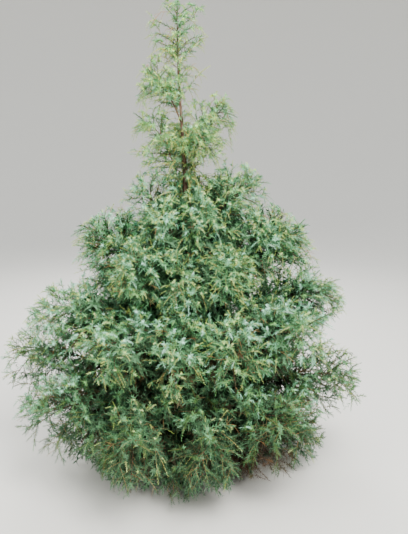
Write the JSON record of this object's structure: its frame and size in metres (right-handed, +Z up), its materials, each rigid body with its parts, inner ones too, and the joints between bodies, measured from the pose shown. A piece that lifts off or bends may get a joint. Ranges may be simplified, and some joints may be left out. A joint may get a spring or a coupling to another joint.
{
  "type": "common juniper shrub",
  "caption": "Garden juniper with one leader: a leaning trunk, low boughs, a broad skirt of prickly needle sprays, rounded shoulders and a thin spire.",
  "frame": {"origin": "middle of the flat cut under the trunk, at ground level", "axes": "+Z up the trunk, -Y towards the viewer of the picture, +X to the viewer's right"},
  "size_m": [1.7074, 1.5518, 2.2306],
  "materials": {
    "bark": "thin grey-brown bark in narrow lengthwise strips, orange-brown in the cracks, dull",
    "needles": "prickly needles in whorls of three, mid to blue-green with a pale band and yellow-green growing tips, satin",
    "dead_wood": "bare dead twigs, dry brown, dull"
  },
  "bodies": {
    "root": {"bough_mid_1": "bark", "bough_mid_2": "bark", "bough_mid_3": "bark", "bough_mid_4": "bark", "bough_mid_5": "bark", "bough_mid_6": "bark", "bough_mid_7": "bark", "bough_mid_8": "bark", "bough_skirt_1": "bark", "bough_skirt_2": "bark", "bough_skirt_3": "bark", "bough_skirt_4": "bark", "bough_skirt_5": "bark", "bough_skirt_6": "bark", "bough_skirt_7": "bark", "bough_skirt_8": "bark", "foliage_crest_1": "needles", "foliage_crest_2": "needles", "foliage_crest_3": "needles", "foliage_crest_4": "needles", "foliage_crest_5": "needles", "foliage_crest_6": "needles", "foliage_hem_1": "needles", "foliage_hem_2": "needles", "foliage_hem_3": "needles", "foliage_hem_4": "needles", "foliage_hem_5": "needles", "foliage_hem_6": "needles", "foliage_hem_7": "needles", "foliage_leader_spray": "needles", "foliage_mid_1": "needles", "foliage_mid_2": "needles", "foliage_mid_3": "needles", "foliage_mid_4": "needles", "foliage_mid_5": "needles", "foliage_mid_6": "needles", "foliage_mid_7": "needles", "foliage_mid_8": "needles", "foliage_shoulder_1": "needles", "foliage_shoulder_2": "needles", "foliage_shoulder_3": "needles", "foliage_shoulder_4": "needles", "foliage_shoulder_5": "needles", "foliage_shoulder_6": "needles", "foliage_shoulder_7": "needles", "foliage_skirt_1": "needles", "foliage_skirt_2": "needles", "foliage_skirt_3": "needles", "foliage_skirt_4": "needles", "foliage_skirt_5": "needles", "foliage_skirt_6": "needles", "foliage_skirt_7": "needles", "foliage_skirt_8": "needles", "foliage_spire_1": "needles", "foliage_spire_2": "needles", "foliage_spire_3": "needles", "foliage_spire_4": "needles", "foliage_spire_5": "needles", "trunk": "bark", "twigs_dead_1": "dead_wood"}
  },
  "joints": []
}
